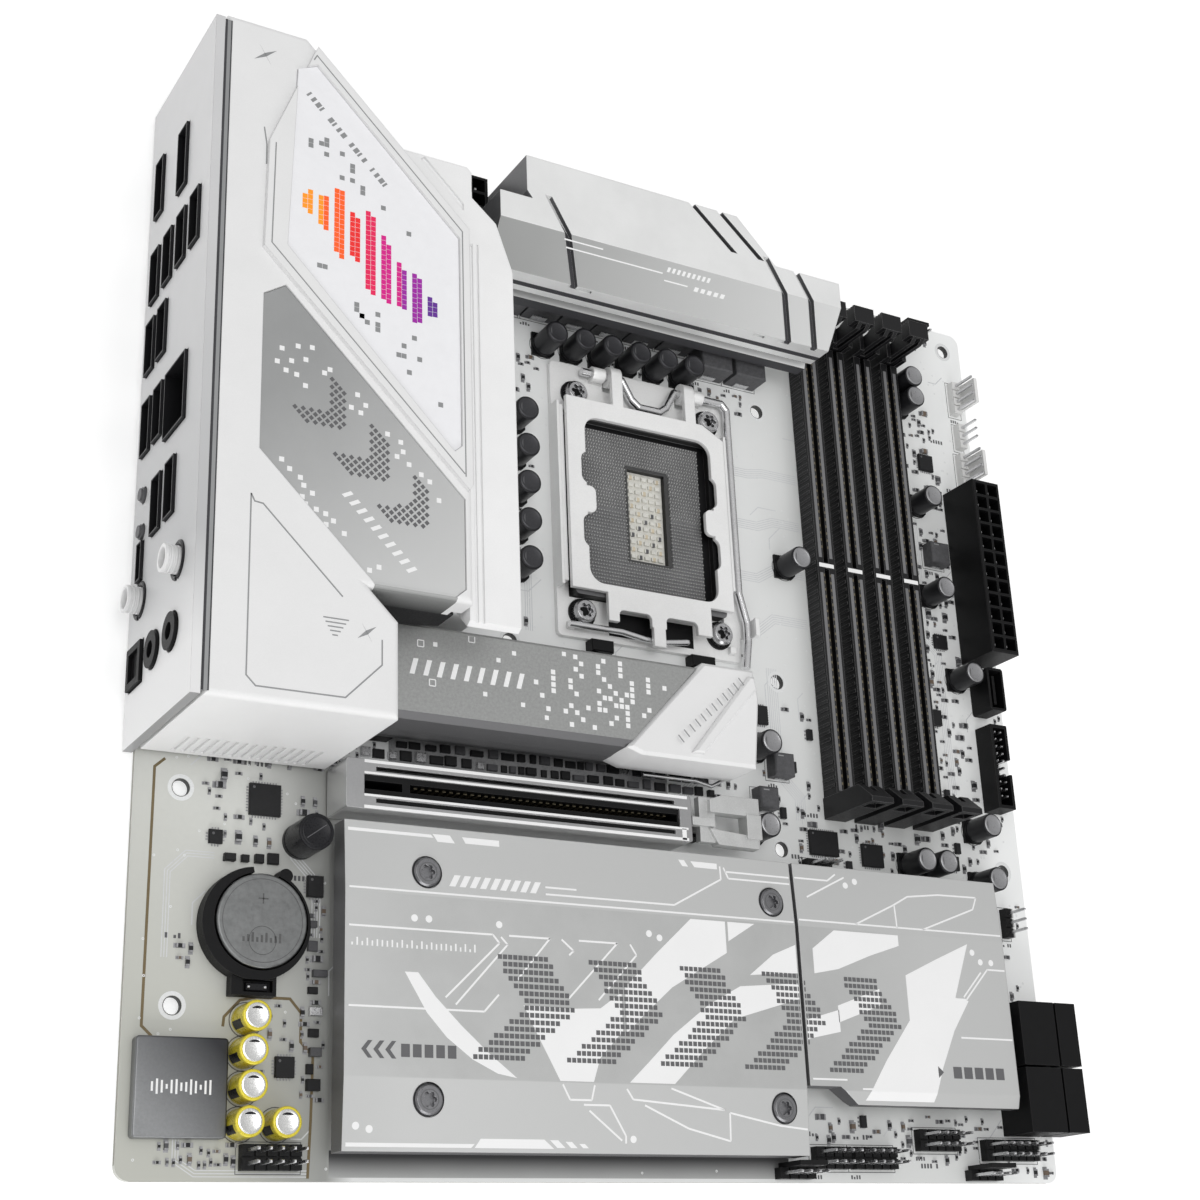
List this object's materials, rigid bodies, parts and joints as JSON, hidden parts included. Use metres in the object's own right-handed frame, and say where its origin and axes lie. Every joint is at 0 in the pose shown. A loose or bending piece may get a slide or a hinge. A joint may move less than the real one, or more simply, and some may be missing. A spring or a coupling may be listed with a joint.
{
  "type": "computer motherboard",
  "caption": "Square computer motherboard with white rear shroud, silver heatsinks, processor socket, memory and expansion slots.",
  "frame": {"origin": "axis of the lower rear mounting hole, at the top face of the circuit board", "axes": "+Z out of the component side; +X from the rear connectors towards the front edge; +Y from the expansion slots towards the processor end"},
  "size_m": [0.2522, 0.2466, 0.0463],
  "materials": {
    "pcb_white": "white solder mask, satin",
    "io_plate_white": "white painted sheet steel",
    "shroud_white": "fine matte white moulding",
    "panel_clear": "milky lens with lit pixel graphics",
    "metal_silver": "bead blasted silver grey anodised",
    "heatsink_white": "white powder coat",
    "steel_bright": "bright stamped steel",
    "nickel": "nickel plated",
    "gold": "gold plated contacts",
    "black_plastic": "black glass filled nylon",
    "grey_plastic": "dark grey moulding",
    "white_plastic": "white moulding",
    "ferrite": "moulded ferrite, fine grain",
    "chip_black": "moulded chip package",
    "cap_grey": "dark lacquered capacitor can",
    "cap_gold": "yellow sleeve with silver top",
    "cap_black": "black sleeve with silver top",
    "shield_metal": "dark metal can",
    "pad_grey": "soft silicone pad",
    "cell_steel": "nickel steel cup"
  },
  "bodies": {
    "board": {"pcb": "pcb_white", "io_plate": "io_plate_white", "rear_port_shells": "nickel", "rear_port_inserts": "black_plastic", "audio_jacks": "black_plastic", "antenna_posts": "gold", "io_shroud": "shroud_white", "shroud_metal_plate": "metal_silver", "shroud_light_panel": "panel_clear", "vrm_heatsink_left": "heatsink_white", "vrm_heatsink_top": "metal_silver", "vrm_chokes": "ferrite", "vrm_mosfets": "chip_black", "thermal_pads": "pad_grey", "polymer_caps": "cap_grey", "audio_caps": "cap_gold", "bulk_cap": "cap_black", "chips": "chip_black", "audio_shield": "shield_metal", "chipset": "chip_black", "chipset_heatsink": "metal_silver", "m2_lower_heatsink": "metal_silver", "cover_screws": "steel_bright", "m2_sockets": "black_plastic", "m2_standoffs": "gold", "pcie_body": "black_plastic", "pcie_armour": "nickel", "slot_contacts": "gold", "socket_housing": "grey_plastic", "socket_contacts": "gold", "ilm_frame": "nickel", "retention_wire": "steel_bright", "ilm_screws": "nickel", "ilm_backplate": "steel_bright", "dimm_bodies": "black_plastic", "atx24_connector": "black_plastic", "eps_connectors": "black_plastic", "power_pins": "gold", "usb3_header": "black_plastic", "usbc_header": "nickel", "sata_ports": "black_plastic", "pin_headers": "black_plastic", "fan_headers": "black_plastic", "header_pins": "gold", "battery_holder": "black_plastic"},
    "load_lever": {"load_lever": "steel_bright"},
    "load_plate": {"load_plate": "steel_bright"},
    "pcie_latch": {"pcie_latch": "white_plastic"},
    "upper_heatsink": {"m2_upper_heatsink": "metal_silver", "latch_spring": "steel_bright"},
    "release_latch": {"m2_release_latch": "white_plastic"},
    "drive_retainer": {"m2_retainer": "grey_plastic"},
    "coin_cell": {"coin_cell": "cell_steel"},
    "bios_button": {"bios_button": "grey_plastic"},
    "cmos_button": {"cmos_button": "grey_plastic"},
    "memory_latch_1": {"dimm_latch_1": "grey_plastic"},
    "memory_latch_2": {"dimm_latch_2": "grey_plastic"},
    "memory_latch_3": {"dimm_latch_3": "grey_plastic"},
    "memory_latch_4": {"dimm_latch_4": "grey_plastic"}
  },
  "joints": [
    {"name": "lever_swing", "type": "hinge", "parent": "board", "child": "load_lever", "pos_m": [0.12054, 0.16611, 0.0031], "axis": [-1, 0, 0], "range_deg": [0, 112]},
    {"name": "plate_swing", "type": "hinge", "parent": "board", "child": "load_plate", "pos_m": [0.12054, 0.16611, 0.0031], "axis": [-1, 0, 0], "range_deg": [0, 90]},
    {"name": "expansion_latch_tilt", "type": "hinge", "parent": "board", "child": "pcie_latch", "pos_m": [0.12644, 0.04756, 0.0032], "axis": [0, 1, 0], "range_deg": [0, 10]},
    {"name": "upper_heatsink_tilt", "type": "hinge", "parent": "board", "child": "upper_heatsink", "pos_m": [0.03474, 0.07171, 0.0062], "axis": [0, -1, 0], "range_deg": [0, 14]},
    {"name": "release_latch_slide", "type": "slide", "parent": "upper_heatsink", "child": "release_latch", "axis": [1, 0, 0], "range_m": [0, 0.003]},
    {"name": "drive_retainer_turn", "type": "hinge", "parent": "board", "child": "drive_retainer", "pos_m": [0.13004, 0.07171, 0.0024], "axis": [0, 0, 1], "range_deg": [0, 90]},
    {"name": "coin_cell_lift", "type": "slide", "parent": "board", "child": "coin_cell", "axis": [0, 0, 1], "range_m": [0, 0.006]},
    {"name": "bios_button_press", "type": "slide", "parent": "board", "child": "bios_button", "axis": [1, 0, 0], "range_m": [0, 0.0008]},
    {"name": "cmos_button_press", "type": "slide", "parent": "board", "child": "cmos_button", "axis": [1, 0, 0], "range_m": [0, 0.0008]},
    {"name": "memory_latch_swing_1", "type": "hinge", "parent": "board", "child": "memory_latch_1", "pos_m": [0.17249, 0.19331, 0.0026], "axis": [-1, 0, 0], "range_deg": [0, 30]},
    {"name": "memory_latch_swing_2", "type": "hinge", "parent": "board", "child": "memory_latch_2", "pos_m": [0.18204, 0.19331, 0.0026], "axis": [-1, 0, 0], "range_deg": [0, 30]},
    {"name": "memory_latch_swing_3", "type": "hinge", "parent": "board", "child": "memory_latch_3", "pos_m": [0.19159, 0.19331, 0.0026], "axis": [-1, 0, 0], "range_deg": [0, 30]},
    {"name": "memory_latch_swing_4", "type": "hinge", "parent": "board", "child": "memory_latch_4", "pos_m": [0.20114, 0.19331, 0.0026], "axis": [-1, 0, 0], "range_deg": [0, 30]}
  ],
  "couplings": [
    {"joint": "plate_swing", "follows": "lever_swing", "ratio": 0.8}
  ]
}
